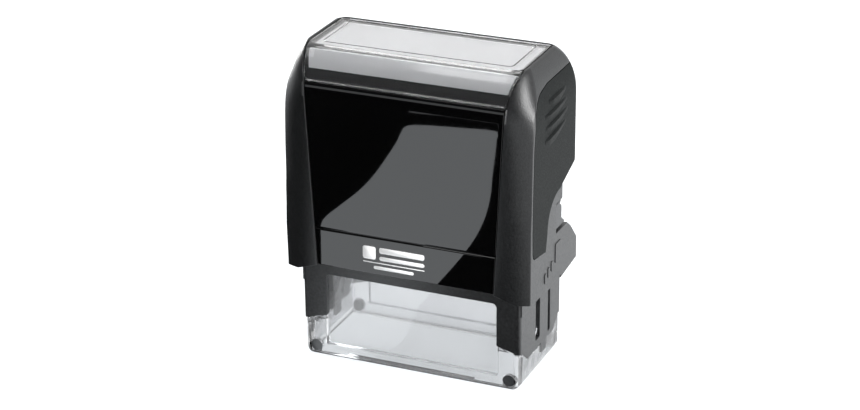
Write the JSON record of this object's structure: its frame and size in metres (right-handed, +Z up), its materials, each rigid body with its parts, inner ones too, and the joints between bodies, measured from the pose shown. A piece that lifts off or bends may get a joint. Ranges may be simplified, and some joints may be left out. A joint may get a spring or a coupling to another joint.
{
  "type": "self inking stamp",
  "caption": "Desk stamp whose press handle slides down over a frame with a clear foot, turning an inked rubber text plate over onto the paper and springing back.",
  "frame": {"origin": "on the surface the stamp stands on, under the middle of the whole stamp's box; the middle of the base is 3.85 mm in front of it, towards -Y", "axes": "+Z up out of the foot, the front with the glossy panel faces -Y, the ink cartridge comes out towards +Y, X along the width"},
  "size_m": [0.068, 0.0444, 0.0863],
  "materials": {
    "handle_plastic": "fine matte texture",
    "frame_plastic": "satin moulded",
    "gloss_panel": "piano black",
    "soft_grip": "soft touch",
    "clear_plastic": "clear, moulded",
    "card": "smooth",
    "pin_plastic": "moulded",
    "button_plastic": "moulded",
    "mechanism_plastic": "moulded",
    "cartridge_plastic": "moulded",
    "spring_steel": "drawn wire",
    "ink_felt": "ink soaked felt",
    "foam": "cellular foam",
    "text_rubber": "cut rubber"
  },
  "bodies": {
    "frame": {"frame_housing": "frame_plastic", "clear_foot": "clear_plastic", "foot_pins": "pin_plastic", "return_spring": "spring_steel"},
    "cartridge": {"cartridge_tray": "cartridge_plastic", "ink_pad": "ink_felt"},
    "handle": {"handle_shell": "handle_plastic", "front_panel": "gloss_panel", "grip_left": "soft_grip", "grip_right": "soft_grip", "index_card": "card", "drive_yoke": "mechanism_plastic"},
    "window": {"index_window": "clear_plastic"},
    "lock_left": {"lock_button_left": "button_plastic"},
    "lock_right": {"lock_button_right": "button_plastic"},
    "die": {"die_holder": "mechanism_plastic", "axle_pin_left": "spring_steel", "axle_pin_right": "spring_steel", "flip_crank_left": "mechanism_plastic", "flip_crank_right": "mechanism_plastic", "foam_cushion": "foam", "text_plate": "text_rubber"}
  },
  "joints": [
    {"name": "handle_press", "type": "slide", "parent": "frame", "child": "handle", "axis": [0, 0, -1], "range_m": [0, 0.024], "stiffness_N_per_m": 700, "springref_m": -0.012, "deforming": ["return_spring"]},
    {"name": "plate_flip", "type": "hinge", "parent": "handle", "child": "die", "pos_m": [0, -0.00385, 0.0292], "axis": [1, 0, 0], "range_deg": [0, 180]},
    {"name": "cartridge_slide", "type": "slide", "parent": "frame", "child": "cartridge", "axis": [0, 1, 0], "range_m": [0, 0.036]},
    {"name": "window_lift", "type": "slide", "parent": "handle", "child": "window", "axis": [0, 0, 1], "range_m": [0, 0.008]},
    {"name": "lock_push_left", "type": "slide", "parent": "handle", "child": "lock_left", "axis": [0, -1, 0], "range_m": [0, 0.002], "stiffness_N_per_m": 300, "springref_m": -0.001},
    {"name": "lock_push_right", "type": "slide", "parent": "handle", "child": "lock_right", "axis": [0, -1, 0], "range_m": [0, 0.002], "stiffness_N_per_m": 300, "springref_m": -0.001}
  ],
  "couplings": [
    {"joint": "plate_flip", "follows": "handle_press", "rad_per_m": 130.89}
  ]
}
